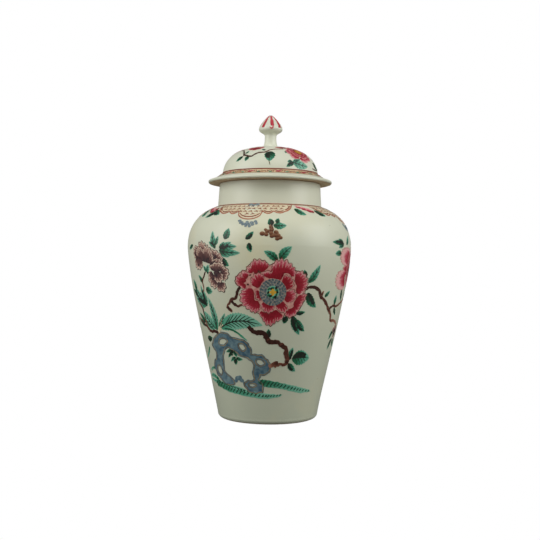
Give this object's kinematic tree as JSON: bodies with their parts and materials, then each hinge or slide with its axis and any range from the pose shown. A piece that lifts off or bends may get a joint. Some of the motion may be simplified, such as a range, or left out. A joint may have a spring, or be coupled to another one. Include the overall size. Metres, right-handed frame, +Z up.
{
  "type": "lidded baluster jar",
  "caption": "Lidded porcelain baluster jar with a lift-off domed cover, pointed bud knop, tall neck and painted flowering-branch decoration.",
  "frame": {"origin": "centre of the foot, on the plane that the standing ring rests on", "axes": "+Z up along the axis of revolution; -Y is the side with the large pink flower, which faces the viewer"},
  "size_m": [0.1624, 0.1624, 0.3006],
  "materials": {
    "glazed_porcelain": "soft glossy, faintly greenish cream glaze over white clay",
    "black_enamel": "glossy black line enamel of the leaf veins and grass",
    "rose_enamel": "gloss, raised, shading from crimson to white-pink",
    "plum_enamel": "gloss, brown-purple wash",
    "green_enamel": "gloss, translucent, over black veins",
    "blue_enamel": "gloss, thin greyish blue wash",
    "brown_enamel": "gloss, dark brown",
    "iron_red_enamel": "thin, satin",
    "yellow_enamel": "gloss, raised"
  },
  "bodies": {
    "jar": {"lower_body": "glazed_porcelain", "upper_body": "glazed_porcelain", "neck": "glazed_porcelain"},
    "lid": {"lid_dome": "glazed_porcelain", "lid_collar": "glazed_porcelain", "lid_knop": "glazed_porcelain"}
  },
  "joints": [
    {"name": "lid_lift", "type": "slide", "parent": "jar", "child": "lid", "axis": [0, 0, 1], "range_m": [0, 0.12]}
  ]
}
